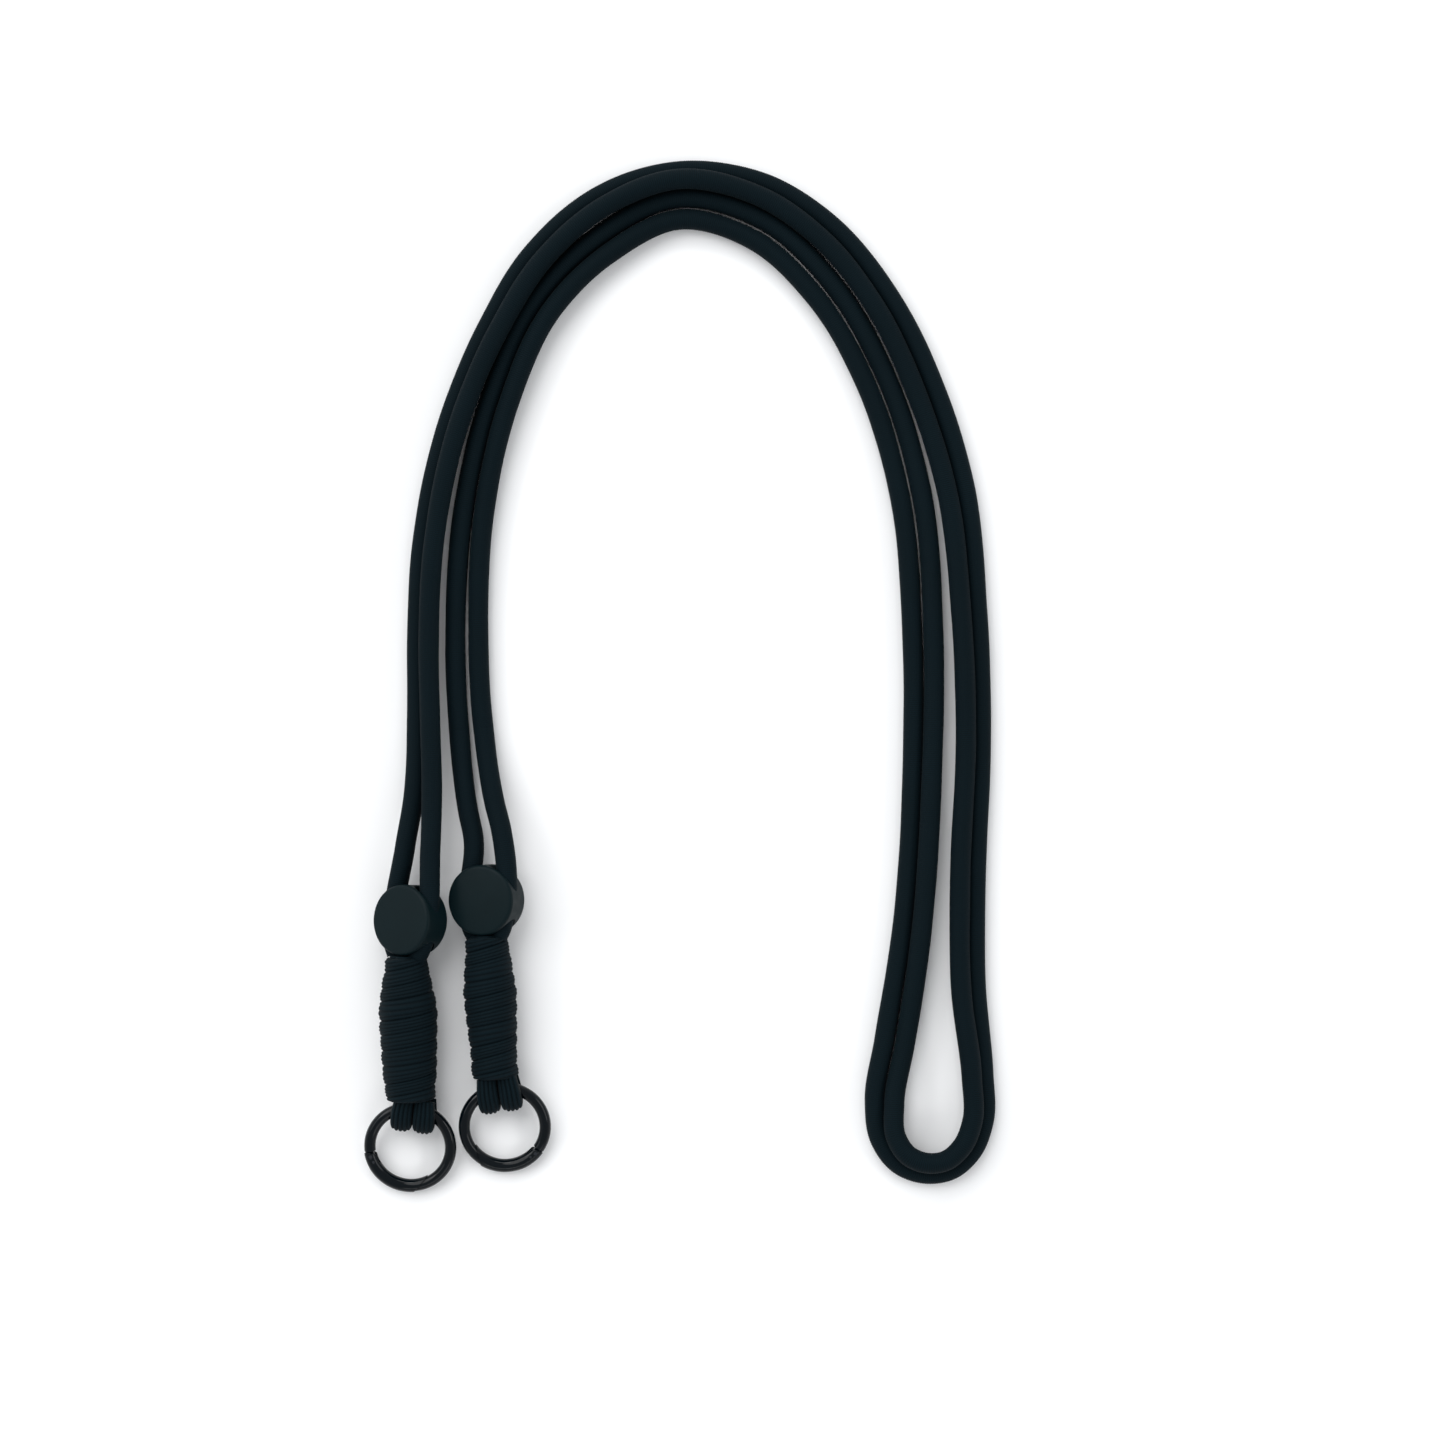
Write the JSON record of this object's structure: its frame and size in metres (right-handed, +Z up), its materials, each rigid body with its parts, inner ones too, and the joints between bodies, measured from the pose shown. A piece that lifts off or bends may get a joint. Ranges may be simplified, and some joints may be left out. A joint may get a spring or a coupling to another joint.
{
  "type": "eyeglass retainer strap",
  "caption": "Doubled round-cord eyeglass neck strap, folded and lying flat, with sliding two-hole drum stoppers, whipped ends and hinged spring-gate rings.",
  "frame": {"origin": "on the surface the strap lies on, under the middle of the two end assemblies (stoppers, whippings and rings)", "axes": "+Z up from the surface; +Y from the rings towards the top of the arch; +X from the end assemblies towards the folded end"},
  "size_m": [0.1704, 0.2794, 0.0178],
  "materials": {
    "knitted_cord": "fine knitted polyester, matte",
    "whipping_cord": "ribbed flat cord, matte",
    "bight_cord": "ribbed flat cord, matte",
    "bound_cord": "bound cord ends, matte",
    "drum_plastic": "satin moulded",
    "black_enamel": "gloss black enamel",
    "blackened_pin": "blackened rivet",
    "spring_steel": "bright spring wire"
  },
  "bodies": {
    "strap": {"outer_cord": "knitted_cord", "inner_cord": "knitted_cord", "left_whipping": "whipping_cord", "right_whipping": "whipping_cord", "left_bound_ends": "bound_cord", "right_bound_ends": "bound_cord", "left_outer_bight": "bight_cord", "left_inner_bight": "bight_cord", "right_outer_bight": "bight_cord", "right_inner_bight": "bight_cord"},
    "left_toggle": {"left_toggle": "drum_plastic"},
    "right_toggle": {"right_toggle": "drum_plastic"},
    "left_ring": {"left_ring_body": "black_enamel"},
    "left_gate": {"left_ring_gate": "black_enamel", "left_hinge_pin": "blackened_pin", "left_stop_pin": "blackened_pin", "left_gate_spring": "spring_steel"},
    "right_ring": {"right_ring_body": "black_enamel"},
    "right_gate": {"right_ring_gate": "black_enamel", "right_hinge_pin": "blackened_pin", "right_stop_pin": "blackened_pin", "right_gate_spring": "spring_steel"}
  },
  "joints": [
    {"name": "left_toggle_slide", "type": "slide", "parent": "strap", "child": "left_toggle", "axis": [0.1045, 0.9945, 0], "range_m": [0, 0.01]},
    {"name": "right_toggle_slide", "type": "slide", "parent": "strap", "child": "right_toggle", "axis": [0, 1, 0], "range_m": [0, 0.01]},
    {"name": "left_ring_swing", "type": "hinge", "parent": "strap", "child": "left_ring", "pos_m": [-0.0116, -0.0223, 0.0059], "axis": [-0.9925, 0.1219, 0], "range_deg": [0, 105]},
    {"name": "right_ring_swing", "type": "hinge", "parent": "strap", "child": "right_ring", "pos_m": [0.0114, -0.0169, 0.0059], "axis": [-0.9903, -0.1392, 0], "range_deg": [0, 105]},
    {"name": "left_gate_hinge", "type": "hinge", "parent": "left_ring", "child": "left_gate", "pos_m": [-0.02345, -0.0344, 0.00333], "axis": [-0.0228, -0.186, 0.9823], "range_deg": [0, 25], "stiffness_Nm_per_rad": 0.006, "springref_deg": -28.65, "deforming": ["left_gate_spring"]},
    {"name": "right_gate_hinge", "type": "hinge", "parent": "right_ring", "child": "right_gate", "pos_m": [0.021, -0.03362, 0.00249], "axis": [-0.0261, 0.1856, -0.9823], "range_deg": [0, 25], "stiffness_Nm_per_rad": 0.006, "springref_deg": -28.65, "deforming": ["right_gate_spring"]}
  ]
}
